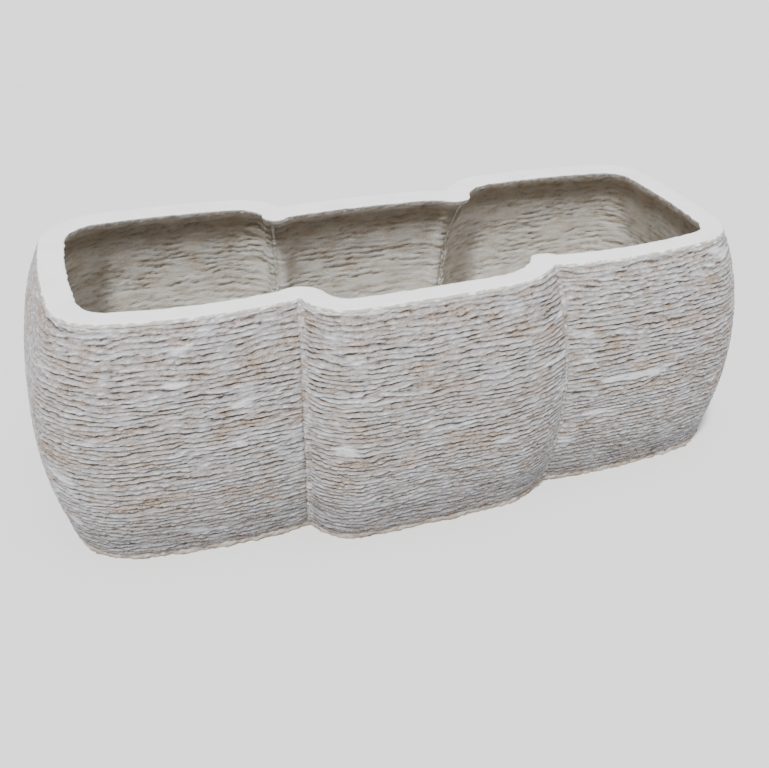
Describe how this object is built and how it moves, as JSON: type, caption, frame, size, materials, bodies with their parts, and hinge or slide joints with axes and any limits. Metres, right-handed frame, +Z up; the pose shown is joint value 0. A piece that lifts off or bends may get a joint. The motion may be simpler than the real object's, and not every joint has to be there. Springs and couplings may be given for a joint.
{
  "type": "concrete planter",
  "caption": "Long outdoor planter trough of combed concrete slabs, shaped as three pillow-like bays in a row, open at the top with a smooth rim and drain holes in its floor.",
  "frame": {"origin": "on the ground, under the middle of the planter's bounding box", "axes": "+Z up, +X along the planter's length towards its right end, -Y towards the front"},
  "size_m": [0.598, 0.2832, 0.2],
  "materials": {
    "concrete": "combed and torn into fine level ridges, unsealed",
    "mortar": "smeared by hand, unsealed",
    "screed": "trowelled smooth, matt"
  },
  "bodies": {
    "root": {"floor_slab": "concrete", "left_wall": "concrete", "front_wall": "concrete", "back_wall": "concrete", "right_wall": "concrete", "front_left_seam": "mortar", "front_right_seam": "mortar", "back_right_seam": "mortar", "back_left_seam": "mortar", "floor_cove": "mortar", "rim_screed": "screed"}
  },
  "joints": []
}
